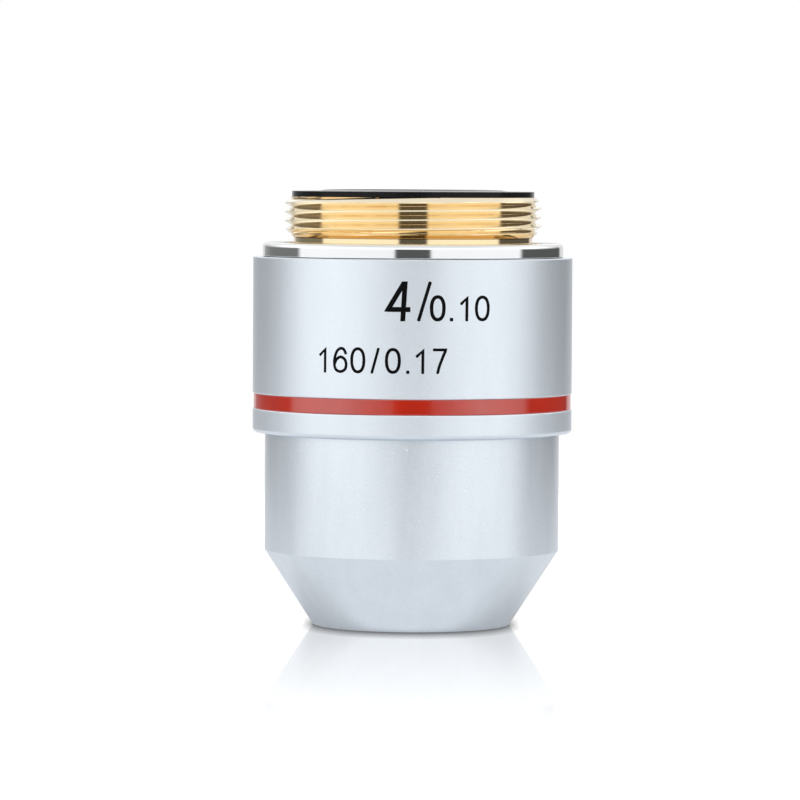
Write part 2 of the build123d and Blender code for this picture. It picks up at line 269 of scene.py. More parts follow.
class Sketch:
    """Node tree of a material or of the world, with short calls to add nodes and join them."""

    def __init__(self, tree: bpy.types.NodeTree) -> None:
        """Starts from an empty tree."""
        self.tree = tree
        self.tree.nodes.clear()

    def add(self, kind: str, settings: dict[str, object] | None = None, **inputs: object) -> bpy.types.Node:
        """Adds a node.

        Args:
            kind: Node type without its ShaderNode prefix.
            settings: Properties of the node.
            **inputs: Values or sockets by input name, with underscores for spaces.

        Returns:
            The new node.
        """
        node = self.tree.nodes.new("ShaderNode" + kind)
        for key, value in (settings or {}).items():
            setattr(node, key, value)
        for key, value in inputs.items():
            self.feed(node.inputs[key.replace("_", " ")], value)
        return node

    def feed(self, socket: Socket, value: object) -> None:
        """Joins a socket to another one, or sets its value."""
        if isinstance(value, Socket):
            self.tree.links.new(value, socket)
        else:
            socket.default_value = value

    def join(self, node: bpy.types.Node, first: object, second: object, at: int = 0) -> bpy.types.Node:
        """Feeds two neighbouring inputs of a node, the first at this number, and returns the node."""
        self.feed(node.inputs[at], first)
        self.feed(node.inputs[at + 1], second)
        return node

    def math(self, operation: str, first: object, second: object = 0.0) -> Socket:
        """Result of a Math node on two sockets or numbers."""
        return self.join(self.add("Math", {"operation": operation}), first, second).outputs[0]

    def remap(self, value: Socket, low: object, high: object, start: object = 0.0, end: object = 1.0,
              smooth: bool = False) -> Socket:
        """Value between two bounds, spread over another range and held at its ends.

        Args:
            value: The value.
            low: Its lower bound.
            high: Its upper bound.
            start: Result at the lower bound.
            end: Result at the upper bound.
            smooth: Whether the result eases in and out.

        Returns:
            Socket with the result.
        """
        kind = {"interpolation_type": "SMOOTHSTEP" if smooth else "LINEAR"}
        bounds = {"From_Min": low, "From_Max": high, "To_Min": start, "To_Max": end}
        return self.add("MapRange", kind, Value=value, **bounds).outputs[0]

    def span(self, value: Socket, low: object, high: object) -> Socket:
        """Value from 0 to 1 spread over another range."""
        return self.remap(value, 0.0, 1.0, low, high)

    def ramp(self, value: Socket, stops: Sequence[tuple[float, Colour]]) -> Socket:
        """Colour picked from stops of position and colour."""
        node = self.add("ValToRGB", Fac=value)
        elements = node.color_ramp.elements
        while len(elements) < len(stops):
            elements.new(1.0)
        for element, (position, colour) in zip(elements, stops):
            element.position = position
            element.color = (*colour, 1.0)
        return node.outputs[0]

    def tones(self, value: Socket, deep: Colour, light: Colour, ends: Pair = (0.3, 0.7)) -> Socket:
        """Colour that goes from deep to light between two values of a pattern."""
        return self.ramp(value, list(zip(ends, (deep, light))))

    def greys(self, value: Socket, stops: Stops) -> Socket:
        """Grey picked from stops of position and strength."""
        return self.ramp(value, [(position, (grey, grey, grey)) for position, grey in stops])

    def axes(self, space: str = "Object") -> Sequence[Socket]:
        """The three coordinates in the object's own space or in another one."""
        return self.add("SeparateXYZ", Vector=self.add("TexCoord").outputs[space]).outputs

    def grain(self, size: float, detail: float = 2.0, stretch: Colour = (1.0, 1.0, 1.0)) -> Socket:
        """Cloudy grain in the object's own space.

        Args:
            size: Size of the grain in millimetres.
            detail: Octaves of finer grain.
            stretch: Factors on the three axes.

        Returns:
            Socket with the grain, from 0 to 1.
        """
        place = self.add("TexCoord").outputs["Object"]
        placed = self.add("Mapping", Vector=place, Scale=stretch).outputs[0]
        noise = self.add("TexNoise", Vector=placed, Scale=1.0 / (size * MM), Detail=detail)
        return noise.outputs["Fac"]

    def pits(self, spacing: float, bottom: float = 0.03, rim: float = 0.13) -> Socket:
        """Small round pits, scattered about one to a cell.

        Args:
            spacing: Typical distance between pits in millimetres.
            bottom: Radius of a pit's bottom as a share of the spacing.
            rim: Radius of its rim as a share of the spacing.

        Returns:
            Socket that is 1 on the surface and falls to 0 in a pit.
        """
        place = self.add("TexCoord").outputs["Object"]
        cells = self.add("TexVoronoi", Vector=place, Scale=1.0 / (spacing * MM), Randomness=1.0)
        return self.remap(cells.outputs["Distance"], bottom, rim, smooth=True)

    def from_axis(self) -> Socket:
        """Distance from the optical axis, in metres."""
        across, deep, _ = self.axes()
        flat = self.add("CombineXYZ", X=across, Y=deep).outputs[0]
        return self.add("VectorMath", {"operation": "LENGTH"}, Vector=flat).outputs["Value"]

    def turned_lines(self, pitch: float, detail: float = 3.0) -> Socket:
        """Fine rings of a turning tool: noise along the sum of height and distance from the axis.

        Args:
            pitch: Typical spacing of the rings in millimetres.
            detail: Octaves of finer rings.

        Returns:
            Socket with the rings, from 0 to 1.
        """
        along = self.math("ADD", self.from_axis(), self.axes()[2])
        line = {"noise_dimensions": "1D"}
        return self.add("TexNoise", line, W=along, Scale=1.0 / (pitch * MM), Detail=detail).outputs["Fac"]

    def blend(self, share: Socket, first: object, second: object) -> Socket:
        """Colour that goes from the first to the second as the share goes from 0 to 1."""
        mix = self.add("Mix", {"data_type": "RGBA"}, Factor=share)
        return self.join(mix, first, second, MIX_COLOURS).outputs[MIX_RESULT]

    def bump(self, height: Socket, depth: float, below: Socket | None = None) -> Socket:
        """Normal bent by a height pattern.

        Args:
            height: Pattern from 0 to 1.
            depth: Depth of the pattern in millimetres.
            below: Normal of another bump under this one.

        Returns:
            Socket with the bent normal.
        """
        node = self.add("Bump", Strength=1.0, Distance=depth * MM, Height=height)
        if below is not None:
            self.feed(node.inputs["Normal"], below)
        return node.outputs[0]

    def principled(self, **inputs: object) -> Socket:
        """Principled shader that takes these inputs."""
        return self.add("BsdfPrincipled", **inputs).outputs[0]


@dataclass(frozen=True)
class Finish(ABC):
    """A finish of the object, made into a material once and then shared."""

    name: str

    @abstractmethod
    def shader(self, tree: Sketch) -> Socket:
        """Adds the finish's nodes and returns the socket of its shader."""

    def material(self) -> bpy.types.Material:
        """The finish's material, made at its first use."""
        material = bpy.data.materials.get(self.name)
        if material is None:
            material = bpy.data.materials.new(self.name)
            material.use_nodes = True
            tree = Sketch(material.node_tree)
            tree.add("OutputMaterial", Surface=self.shader(tree))
        return material


@dataclass(frozen=True)
class SatinChrome(Finish):
    """Chrome over a blasted surface: pearl grain with faint rings of the turning under it."""

    light: Colour = (0.80, 0.855, 0.91)
    deep: Colour = (0.74, 0.795, 0.85)
    tone_ends: Pair = (0.35, 0.65)
    roughness: Pair = (0.38, 0.46)
    grain_size: float = 0.13
    grain_depth: float = 0.004
    smear_size: float = 2.4
    smear_stretch: Colour = (1.0, 1.0, 0.2)
    pit_spacing: float = 1.1
    pit_depth: float = 0.006
    ring_pitch: float = 0.12
    ring_depth: float = 0.0008

    def shader(self, tree: Sketch) -> Socket:
        """Grain and pits bend the normal, and the grain and upright smears shift gloss and tint."""
        grain = tree.grain(self.grain_size)
        smears = tree.grain(self.smear_size, detail=3.0, stretch=self.smear_stretch)
        cloud = tree.math("MULTIPLY", tree.math("ADD", grain, smears), 0.5)
        rings = tree.bump(tree.turned_lines(self.ring_pitch), self.ring_depth)
        rings = tree.bump(tree.pits(self.pit_spacing), self.pit_depth, rings)
        return tree.principled(
            Base_Color=tree.tones(cloud, self.deep, self.light, self.tone_ends),
            Metallic=1.0,
            Roughness=tree.span(grain, *self.roughness),
            Normal=tree.bump(grain, self.grain_depth, rings),
        )


@dataclass(frozen=True)
class PolishedChrome(Finish):
    """Bright chrome on a polished flange, with hairline turning marks."""

    light: Colour = (0.88, 0.89, 0.90)
    deep: Colour = (0.84, 0.85, 0.865)
    cloud_size: float = 6.0
    roughness: Pair = (0.03, 0.09)
    ring_pitch: float = 0.06
    ring_depth: float = 0.00015

    def shader(self, tree: Sketch) -> Socket:
        """Hairlines vary the gloss and bend the normal a little."""
        rings = tree.turned_lines(self.ring_pitch)
        return tree.principled(
            Base_Color=tree.tones(tree.grain(self.cloud_size), self.deep, self.light),
            Metallic=1.0,
            Roughness=tree.span(rings, *self.roughness),
            Normal=tree.bump(rings, self.ring_depth),
        )


@dataclass(frozen=True)
class TurnedBrass(Finish):
    """Bare brass fresh from the lathe, with tool marks and a tone by radius that is painted shade: darker
    towards the thread's root, palest on the crests.
    """

    light: Colour = (0.98, 0.88, 0.68)
    deep: Colour = (0.96, 0.82, 0.58)
    # Darker tone at the thread's root: painted shade in the hollow.
    root: Colour = (0.80, 0.58, 0.33)
    relief: Colour = (0.97, 0.80, 0.50)
    radii: tuple[float, ...] = (9.48, 9.53, 9.62, 9.90)
    bounds: Pair = (9.0, 10.5)
    cloud_size: float = 1.6
    cloud_reach: float = 0.08
    roughness: Pair = (0.04, 0.09)
    ring_pitch: float = 0.05
    ring_depth: float = 0.0001

    def shader(self, tree: Sketch) -> Socket:
        """Tool marks vary gloss and normal, and a cloud shifts the tone.

        From the axis outwards, the tones at the four radii are those of the relief, of the thread's root,
        of its flanks and of its crests; the darker root and flank tones are painted shade in the thread's
        hollows.
        """
        rings = tree.turned_lines(self.ring_pitch)
        reach = self.cloud_reach * MM
        cloud = tree.span(tree.grain(self.cloud_size, detail=3.0), -reach, reach)
        inside, outside = self.bounds
        place = tree.remap(tree.math("ADD", tree.from_axis(), cloud), inside * MM, outside * MM)
        places = [(radius - inside) / (outside - inside) for radius in self.radii]
        tones = (self.relief, self.root, self.deep, self.light)
        return tree.principled(
            # Colour ramp by radius: painted shade, darkest at the thread's root.
            Base_Color=tree.ramp(place, list(zip(places, tones))),
            Metallic=1.0,
            Roughness=tree.span(rings, *self.roughness),
            Normal=tree.bump(rings, self.ring_depth),
        )


@dataclass(frozen=True)
class Enamel(Finish):
    """Coloured enamel that fills a groove, slightly wavy."""

    light: Colour = (0.53, 0.018, 0.001)
    deep: Colour = (0.46, 0.014, 0.001)
    cloud_size: float = 2.5
    roughness: Pair = (0.06, 0.11)
    index: float = 2.0
    wave_size: float = 0.8
    wave_depth: float = 0.0003

    def shader(self, tree: Sketch) -> Socket:
        """A cloud shifts the colour, and soft waves bend the normal."""
        waves = tree.grain(self.wave_size)
        return tree.principled(
            Base_Color=tree.tones(tree.grain(self.cloud_size), self.deep, self.light),
            Roughness=tree.span(waves, *self.roughness),
            IOR=self.index,
            Normal=tree.bump(waves, self.wave_depth),
        )


@dataclass(frozen=True)
class Blackened(Finish):
    """Black skin on metal: anodised or chemically blackened, from semi-matt to matt."""

    light: Colour = (0.012, 0.012, 0.013)
    deep: Colour = (0.006, 0.006, 0.007)
    roughness: Pair = (0.16, 0.24)
    gloss: float = 0.12
    grain_size: float = 0.15
    grain_depth: float = 0.0003
    ring_pitch: float = 0.08
    ring_depth: float = 0.0002

    def shader(self, tree: Sketch) -> Socket:
        """Grain shifts the black and its gloss, over rings of the turning."""
        grain = tree.grain(self.grain_size)
        rings = tree.bump(tree.turned_lines(self.ring_pitch), self.ring_depth)
        return tree.principled(
            Base_Color=tree.tones(grain, self.deep, self.light),
            Roughness=tree.span(grain, *self.roughness),
            Specular_IOR_Level=self.gloss,
            Normal=tree.bump(grain, self.grain_depth, rings),
        )


@dataclass(frozen=True)
class CoatedGlass(Finish):
    """Polished lens glass under a thin anti-reflection coating."""

    tint: Colour = (0.97, 0.99, 0.98)
    index: float = 1.55
    coating_nanometres: float = 118.0
    coating_index: float = 1.38
    polish_size: float = 0.5
    roughness: Pair = (0.0, 0.012)

    def shader(self, tree: Sketch) -> Socket:
        """Clear glass whose faint polish marks vary the gloss, with a film on its faces."""
        polish = tree.grain(self.polish_size, detail=4.0)
        return tree.principled(
            Base_Color=(*self.tint, 1.0),
            Roughness=tree.span(polish, *self.roughness),
            IOR=self.index,
            Transmission_Weight=1.0,
            Thin_Film_Thickness=self.coating_nanometres,
            Thin_Film_IOR=self.coating_index,
        )


@dataclass(frozen=True)
class TableTop(Finish):
    """Back-lit white table with a painted contact shadow round the rim, whose mirror image of the object
    fades with the distance from it.

    In each pair but the mirror's, the first value is for light that the object reflects, and the second
    for what the camera sees. The mirror fades from the near to the far distance from the axis.
    """

    colour: Colour = (0.2, 0.2, 0.2)
    light: Colour = (1.0, 1.012, 1.04)
    glow: Pair = (0.64, 1.0)
    rim: float = 7.6
    shade: Pair = (0.52, 0.15)
    shade_front: Pair = (0.5, 6.0)
    shade_sides: Pair = (9.0, 0.95)
    side_power: Pair = (4.0, 2.0)
    mirror: float = 0.63
    mirror_fade: Pair = (8.0, 120.0)
    roughness: float = 0.03

    def shader(self, tree: Sketch) -> Socket:
        """Light from below with a painted contact shadow where the rim touches, and a mirror that fades
        outwards and is darkened by the same painted shadow.

        The painted shadow's reach goes from its front value to its side value by a power of x / r.
        """
        across, out = tree.axes()[0], tree.from_axis()
        seen = tree.add("LightPath").outputs["Is Camera Ray"]
        near, far = self.mirror_fade
        fade = tree.remap(out, near * MM, far * MM, self.mirror, 0.0, smooth=True)
        front = tree.span(seen, *(MM * (self.rim + reach) for reach in self.shade_front))
        sides = tree.span(seen, *(MM * (self.rim + reach) for reach in self.shade_sides))
        side = tree.math("POWER", tree.math("DIVIDE", across, out), tree.span(seen, *self.side_power))
        edge = tree.span(side, front, sides)
        # Painted contact shadow: the glow and the mirror darken towards the rim.
        painted_contact_shade = tree.remap(out, self.rim * MM, edge, tree.span(seen, *self.shade))
        power = tree.math("MULTIPLY", painted_contact_shade, tree.span(seen, *self.glow))
        white = tree.add("BsdfDiffuse", Color=(*self.colour, 1.0)).outputs[0]
        tint = tree.blend(seen, (*self.light, 1.0), WHITE)
        below = tree.add("Emission", Color=tint, Strength=power).outputs[0]
        lit = tree.join(tree.add("AddShader"), white, below).outputs[0]
        gloss = tree.add("BsdfGlossy", Color=painted_contact_shade, Roughness=self.roughness).outputs[0]
        mirror = tree.add("MixShader", Fac=tree.math("MULTIPLY", fade, seen))
        face = tree.join(mirror, lit, gloss, 1).outputs[0]
        sheet = tree.add("MixShader", Fac=tree.add("NewGeometry").outputs["Backfacing"])
        return tree.join(sheet, face, tree.add("BsdfTransparent").outputs[0], 1).outputs[0]


SLEEVE_CHROME = SatinChrome("satin_chrome_sleeve")
NOSE_CHROME = SatinChrome(
    "satin_chrome_nose",
    deep=(0.735, 0.79, 0.845),
    roughness=(0.32, 0.40),
    grain_size=0.16,
    grain_depth=0.006,
    smear_size=1.6,
    pit_spacing=0.8,
    pit_depth=0.011,
)
FLANGE_CHROME = PolishedChrome("polished_chrome_flange")
THREAD_BRASS = TurnedBrass("turned_brass_thread")
# Darker brass on the chamfer under the last turn: painted shade under the thread's end.
PAINTED_SHADE_CHAMFER_BRASS = TurnedBrass("painted_shade_chamfer_brass", (0.90, 0.71, 0.43), *[(0.83, 0.63, 0.36)] * 3)
# Dark brown line under the thread's last turn: a painted shadow.
PAINTED_SHADOW_LINE_BRASS = TurnedBrass("painted_shadow_brass_line", *[(0.40, 0.26, 0.12)] * 4)
BAND_ENAMEL = Enamel("red_enamel_band")
RING_BLACK = Blackened("black_anodised_ring")
INK_BLACK = Blackened(
    "black_figure_fill",
    light=(0.004, 0.004, 0.0045),
    deep=(0.002, 0.002, 0.0025),
    roughness=(0.40, 0.55),
    gloss=0.05,
    grain_depth=0.0012,
)
# Blackened brass of the bores, cells and rings, also laid on the joint under the flange as painted shade in
# the gap.
BLACK_INSIDE_AND_JOINT_SHADE = Blackened(
    "blackened_brass_inside_and_joint_shade",
    light=(0.030, 0.028, 0.026),
    deep=(0.014, 0.013, 0.012),
    roughness=(0.50, 0.68),
    gloss=0.3,
    grain_depth=0.0012,
    ring_depth=0.0008,
)
FRONT_GLASS = CoatedGlass("coated_crown_glass")
REAR_GLASS = CoatedGlass("coated_doublet_glass", index=1.58, coating_nanometres=132.0)


class Slot(Enum):
    """The record's material slots."""

    BRASS = "mount_brass"
    CHROME = "satin_chrome"
    ENAMEL = "red_enamel"
    ANODISED = "black_anodised"
    BLACKENED = "blackened_brass"
    CROWN = "crown_glass"
    FLINT = "flint_glass"


@dataclass(frozen=True)
class Piece:
    """One piece of the dressed model: its surface, its finishes and the nodes that it stands for."""

    name: str
    surface: Surface
    finishes: tuple[Finish, ...]
    slot: Slot
    nodes: tuple[str, ...] = ()

    def place(self) -> bpy.types.Object:
        """Makes the mesh object, seats it on its body and says what it replaces."""
        obj = self.surface.to_object(self.name, [finish.material() for finish in self.finishes])
        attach(obj, BODY)
        if self.nodes:
            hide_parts(*self.nodes)
        stands_for = ", ".join(self.nodes) or "no node"
        LOG.info("%s: %d faces, stands for %s", self.name, len(obj.data.polygons), stands_for)
        return obj


class Assembly(ABC):
    """Sub-assembly that gives its pieces in order."""

    @abstractmethod
    def pieces(self) -> list[Piece]:
        """The sub-assembly's pieces."""


@dataclass(frozen=True)
class ThreadedMount(Assembly):
    """Turned mount: bare brass thread on top, polished flange under it, and the hidden pilot and skirt."""

    thread_radius: float = 10.12
    thread_top: float = 3.60
    thread_bottom: float = 0.45
    pitch: float = 25.4 / 36.0
    crest_phase: float = 0.99
    flank_degrees: float = 30.0
    crest_round: float = 0.05
    root_round: float = 0.01
    lead: float = 0.45
    tail: float = 0.05
    # Height of the painted shadow line on the relief under the thread.
    painted_shadow_line: float = 0.08
    relief_radius: float = 9.40
    undercut_radius: float = 10.30
    undercut: float = 0.15
    flange_radius: float = 11.85
    flange_bottom: float = -1.12
    flange_round: float = 0.36
    joint_radius: float = 11.50
    joint: float = 0.05
    pilot_radius: float = 10.60
    pilot_end: float = -9.12
    skirt_radius: float = 10.10
    skirt_end: float = -13.92
    rear_bore: float = 8.00
    rear_floor: float = -0.55
    screw_bore: float = 7.34
    relief_bore: float = 7.64
    relief_start: float = -8.363
    skirt_lead: float = 0.30
    face_step: float = 0.05
    bore_edge: float = 0.05
    joint_edge: float = 0.04
    joint_reach: float = 0.2
    undercut_edge: float = 0.03
    relief_edge: float = 0.06
    slack: float = 0.01
    thread_columns: int = 360
    form_rows: int = 18
    arc_steps: int = 8
    spare_turns: int = 2

    def thread_form(self) -> np.ndarray:
        """One turn's section between middles of flanks: straight flanks, round crest and root.

        Returns:
            Rows of place along the pitch, from 0 to the pitch, and radius.
        """
        flank = math.radians(self.flank_degrees)
        sharp = self.thread_radius + self.crest_round * (1.0 / math.sin(flank) - 1.0)
        height = 0.5 * self.pitch / math.tan(flank)
        corners = [
            (0.0, sharp - 0.5 * height),
            (0.25 * self.pitch, sharp, self.crest_round),
            (0.75 * self.pitch, sharp - height, self.root_round),
            (self.pitch, sharp - 0.5 * height),
        ]
        return rounded_path(corners, closed=False, steps=self.arc_steps)

    def angles(self) -> np.ndarray:
        """Angles of the mount's columns, the last on the same line as the first."""
        return np.linspace(0.0, TAU, self.thread_columns + 1)

    def chamfer(self, height: np.ndarray) -> np.ndarray:
        """Radius of the 45 degree cone at the thread's lower end, by height."""
        return self.relief_radius + self.tail + height - self.thread_bottom

    def thread_grid(self) -> np.ndarray:
        """Right-hand thread: each row of the form climbs one pitch per turn, z = s + pitch * a / 2 pi.

        Rows are held between the thread's ends, and the radius is read from the form at the held height,
        so rows past an end fall together on its edge. A 45 degree cone limits the radius at each end.

        Returns:
            Grid of points, with the first and last column on the same line.
        """
        form = self.thread_form()
        turns = math.ceil((self.thread_top - self.thread_bottom) / self.pitch) + 2 * self.spare_turns + 1
        base = self.crest_phase - 0.25 * self.pitch
        first = base - self.pitch * (math.ceil((base - self.thread_bottom) / self.pitch) + self.spare_turns)
        steps = np.union1d(form[:-1, 0], np.linspace(0.0, self.pitch, self.form_rows, endpoint=False))
        along = (first + self.pitch * np.arange(turns)[:, None] + steps).ravel()[:, None]
        climb = self.pitch * (self.angles() - math.pi) / TAU
        height = np.clip(along + climb, self.thread_bottom, self.thread_top)
        radius = np.interp(np.mod(height - climb - base, self.pitch), form[:, 0], form[:, 1])
        radius = np.minimum(radius, self.thread_radius - self.lead + self.thread_top - height)
        return polar(np.minimum(radius, self.chamfer(height)), self.angles(), height)

    def body_profile(self) -> np.ndarray:
        """Section of the rest of the mount: the top face inwards, down the bores and up outside."""
        joint_top = self.flange_bottom + self.joint
        corners = [
            (self.thread_radius - self.lead - self.face_step, self.thread_top),
            (self.rear_bore, self.thread_top, self.bore_edge),
            (self.rear_bore, self.rear_floor),
            (self.screw_bore, self.rear_floor),
            (self.screw_bore, self.relief_start),
            (self.relief_bore, self.relief_start),
            (self.relief_bore, self.skirt_end),
            (self.skirt_radius - self.skirt_lead, self.skirt_end),
            (self.skirt_radius, self.skirt_end + self.skirt_lead),
            (self.skirt_radius, self.pilot_end),
            (self.pilot_radius, self.pilot_end),
            (self.pilot_radius, self.flange_bottom),
            (self.joint_radius, self.flange_bottom),
            (self.joint_radius, joint_top),
            (self.flange_radius, joint_top, self.joint_edge),
            (self.flange_radius, 0.0, self.flange_round),
            (self.undercut_radius, 0.0, self.undercut_edge),
            (self.undercut_radius, -self.undercut),
            (self.relief_radius, -self.undercut, self.relief_edge),
            (self.relief_radius, self.thread_bottom - self.painted_shadow_line),
            (self.relief_radius, self.thread_bottom),
        ]
        return rounded_path(corners, closed=False)

    def pieces(self) -> list[Piece]:
        """The mount as one closed surface.

        Thread and relief are brass, darker on the chamfer under the last turn as painted shade, with a
        painted shadow line below it. The flange is plated, the bores are black, and the joint under the
        flange is black as painted shade in the gap.
        """
        profile = self.body_profile()
        body = polar(profile[:, :1], self.angles(), profile[:, 1:])
        surface = Surface.from_grid(np.concatenate([self.thread_grid(), body]), ring_columns=False)
        out, height = surface.centres().T
        plated = (out > self.undercut_radius) & (height < self.slack)
        joint_top = self.flange_bottom + self.joint + self.slack
        # Inner wall of the joint under the flange: painted black as the shade in the gap.
        joint = plated & (out < self.joint_radius + self.joint_reach) & (height < joint_top)
        bore = self.rear_bore + self.bore_edge + self.slack
        bores = (out < bore) & (height < self.thread_top - self.slack)
        line = np.abs(out - self.relief_radius) < self.slack
        # Relief faces just under the thread: a painted shadow line.
        painted_shadow_line = line & (height > self.thread_bottom - self.painted_shadow_line)
        # Faces of the chamfer cone under the last turn, darker as painted shade.
        cone = np.abs(out - self.chamfer(height)) < 2.0 * self.slack
        chamfer = cone & (height > self.thread_bottom)
        finishes = (THREAD_BRASS, FLANGE_CHROME, BLACK_INSIDE_AND_JOINT_SHADE, PAINTED_SHADOW_LINE_BRASS, PAINTED_SHADE_CHAMFER_BRASS)
        zones = {
            BLACK_INSIDE_AND_JOINT_SHADE: joint | bores,
            FLANGE_CHROME: plated,
            PAINTED_SHADOW_LINE_BRASS: painted_shadow_line,
            PAINTED_SHADE_CHAMFER_BRASS: chamfer,
        }
        numbers = [finishes.index(finish) for finish in zones]
        surface = surface.finished(np.select(list(zones.values()), numbers, 0))
        return [Piece("threaded_mount", surface, finishes, Slot.BRASS, ("mount_body",))]


class Figure(Enum):
    """Figures cut into the sleeve."""

    ZERO = "0"
    ONE = "1"
    FOUR = "4"
    SIX = "6"
    SEVEN = "7"
    POINT = "."
    STROKE = "/"


STROKES: dict[Figure, list[list[Pair]]] = {
    Figure.ONE: [[(0.0, 0.72), (0.90, 1.0), (0.88, 0.0)]],
    Figure.STROKE: [[(0.0, 0.0), (1.0, 1.0)]],
    Figure.POINT: [[(0.0, 0.0), (0.0, 1.0)]],
}
FOUR_BARS = [[(0.71, 0.0), (0.80, 1.0)], [(0.79, 1.0), (0.10, 0.24)], [(0.10, 0.295), (1.0, 0.295)]]
SEVEN_CURVE = [(1.0, 1.0), (0.72, 0.66), (0.45, 0.29), (0.30, 0.0)]
SIX_CURVE = [
    (0.95, 0.80), (0.80, 0.95), (0.55, 1.0), (0.25, 0.89), (0.06, 0.64), (0.0, 0.36), (0.12, 0.10),
    (0.50, 0.0), (0.88, 0.09), (1.0, 0.31), (0.87, 0.53), (0.52, 0.63), (0.20, 0.52), (0.05, 0.36),
]
ZERO_POINTS = 72
ZERO_POWER = 0.88
BAR_POINTS = 16
CAP_STEPS = 8
LEVEL_REACH = 0.002
LEAST_SIDE = 1e-3


class StrokeEnd(Enum):
    """Ways in which a stroke ends."""

    LOOP = "loop"
    BLUNT = "blunt"
    LEVEL = "level"


@dataclass(frozen=True)
class Stroke:
    """Middle line of a stroke on the unrolled sleeve, and how it ends."""

    path: np.ndarray
    end: StrokeEnd


@dataclass(frozen=True)
class CutFigure:
    """One figure on the unrolled sleeve: its box along the sleeve and up it, and its stroke's width."""

    figure: Figure
    left: float
    right: float
    bottom: float
    top: float
    width: float

    def fit(self, path: np.ndarray) -> np.ndarray:
        """Path in a unit box, moved into the figure's box less half a stroke on each side."""
        half = 0.5 * self.width
        low = np.array([self.left + half, self.bottom + half])
        high = np.array([self.right - half, self.top - half])
        return low + path * np.maximum(high - low, LEAST_SIDE)

    def strokes(self) -> list[Stroke]:
        """The figure's strokes on the unrolled sleeve."""
        if self.figure is Figure.ZERO:
            turn = np.arange(ZERO_POINTS) * TAU / ZERO_POINTS
            loop = np.stack([np.cos(turn), np.sin(turn)], axis=1)
            loop = np.sign(loop) * np.abs(loop) ** ZERO_POWER
            return [Stroke(self.fit(0.5 + 0.5 * loop), StrokeEnd.LOOP)]
        if self.figure is Figure.SIX:
            return [Stroke(smooth_path(self.fit(np.array(SIX_CURVE))), StrokeEnd.BLUNT)]
        if self.figure is Figure.SEVEN:
            fall = smooth_path(self.fit(np.array(SEVEN_CURVE)))
            return [Stroke(np.concatenate([self.fit(np.array([[0.0, 1.0]])), fall]), StrokeEnd.BLUNT)]
        if self.figure is Figure.FOUR:
            low, high = np.array([self.left, self.bottom]), np.array([self.right, self.top])
            bars = [np.linspace(*(low + np.array(bar) * (high - low)), BAR_POINTS) for bar in FOUR_BARS]
            return [Stroke(bar, StrokeEnd.LEVEL) for bar in bars]
        return [Stroke(self.fit(np.array(line)), StrokeEnd.BLUNT) for line in STROKES[self.figure]]


def smooth_path(points: np.ndarray, steps: int = 10) -> np.ndarray:
    """Smooth curve through points, with a cubic in each span.

    The tangent at a point is half the step from the point before it to the point after it.

    Args:
        points: Points to pass through, one in each row.
        steps: Straight pieces in each span.

    Returns:
        Points of the curve.
    """
    padded = np.concatenate([2.0 * points[:1] - points[1:2], points, 2.0 * points[-1:] - points[-2:-1]])
    a, b, c, d = (padded[k : len(padded) - 3 + k, None] for k in range(4))
    t = np.linspace(0.0, 1.0, steps, endpoint=False)[None, :, None]
    square, cube = (2 * a - 5 * b + 4 * c - d) * t**2, (3 * b - a - 3 * c + d) * t**3
    curve = 0.5 * (2 * b + (c - a) * t + square + cube)
    return np.concatenate([curve.reshape(-1, 2), points[-1:]])


def stroke_surface(stroke: Stroke, item: CutFigure, low: float, high: float) -> Surface:
    """Ribbon of a stroke, wrapped on the sleeve: a box section carried along the stroke's middle line.

    Half the width is laid off along the mitre of each point's two sides, (n1 + n2) / (1 + n1.n2) for side
    normals n1 and n2, and kept in the figure's box. A blunt end goes on for half a width as a quarter of
    the curve |x|^4 + |y|^4 = 1. A level bar's half width is laid off along the sleeve instead, or up it for
    a bar that runs along, so its ends are cut level. A point (u, v) of the unrolled sleeve goes to the
    angle u / R from the front, at the height v.

    Args:
        stroke: The stroke.
        item: The figure, for its width and its box.
        low: Radius of the ribbon's underside, inside the sleeve.
        high: Radius of its top face.

    Returns:
        The closed ribbon.
    """
    half = 0.5 * item.width
    path, closed = stroke.path, stroke.end is StrokeEnd.LOOP
    side = np.diff(np.concatenate([path, path[:1]]) if closed else path, axis=0)
    side /= np.linalg.norm(side, axis=1, keepdims=True)
    normal = np.stack([-side[:, 1], side[:, 0]], axis=1)
    before = np.roll(normal, 1, axis=0) if closed else np.concatenate([normal[:1], normal])
    after = normal if closed else np.concatenate([normal, normal[-1:]])
    mitre = (before + after) / (1.0 + (before * after).sum(axis=1, keepdims=True)) * half
    turn = np.linspace(0.0, 0.5 * math.pi, CAP_STEPS, endpoint=False)[:, None]
    reach, spread = half * np.sqrt(np.cos(turn)), np.sqrt(np.sin(turn))
    if stroke.end is StrokeEnd.LEVEL:
        axis = np.eye(2)[np.abs(normal[:1]).argmax()]
        mitre = axis * half / (normal[:1] * axis).sum() * np.ones((len(path), 1))
        reach, spread = np.array([[LEVEL_REACH]]), np.array([[0.0]])
    if not closed:
        path = np.concatenate([path[:1] - side[:1] * reach, path, (path[-1:] + side[-1:] * reach)[::-1]])
        mitre = np.concatenate([mitre[:1] * spread, mitre, (mitre[-1:] * spread)[::-1]])
    edges = np.stack([path + mitre, path - mitre, path - mitre, path + mitre])
    edges = np.clip(edges, [item.left, item.bottom], [item.right, item.top])
    radius = np.array([high, high, low, low])[:, None]
    angle = edges[..., 0] / high
    grid = np.stack([radius * np.sin(angle), -radius * np.cos(angle), edges[..., 1]], axis=-1)
    return Surface.from_grid(grid, ring_columns=closed)


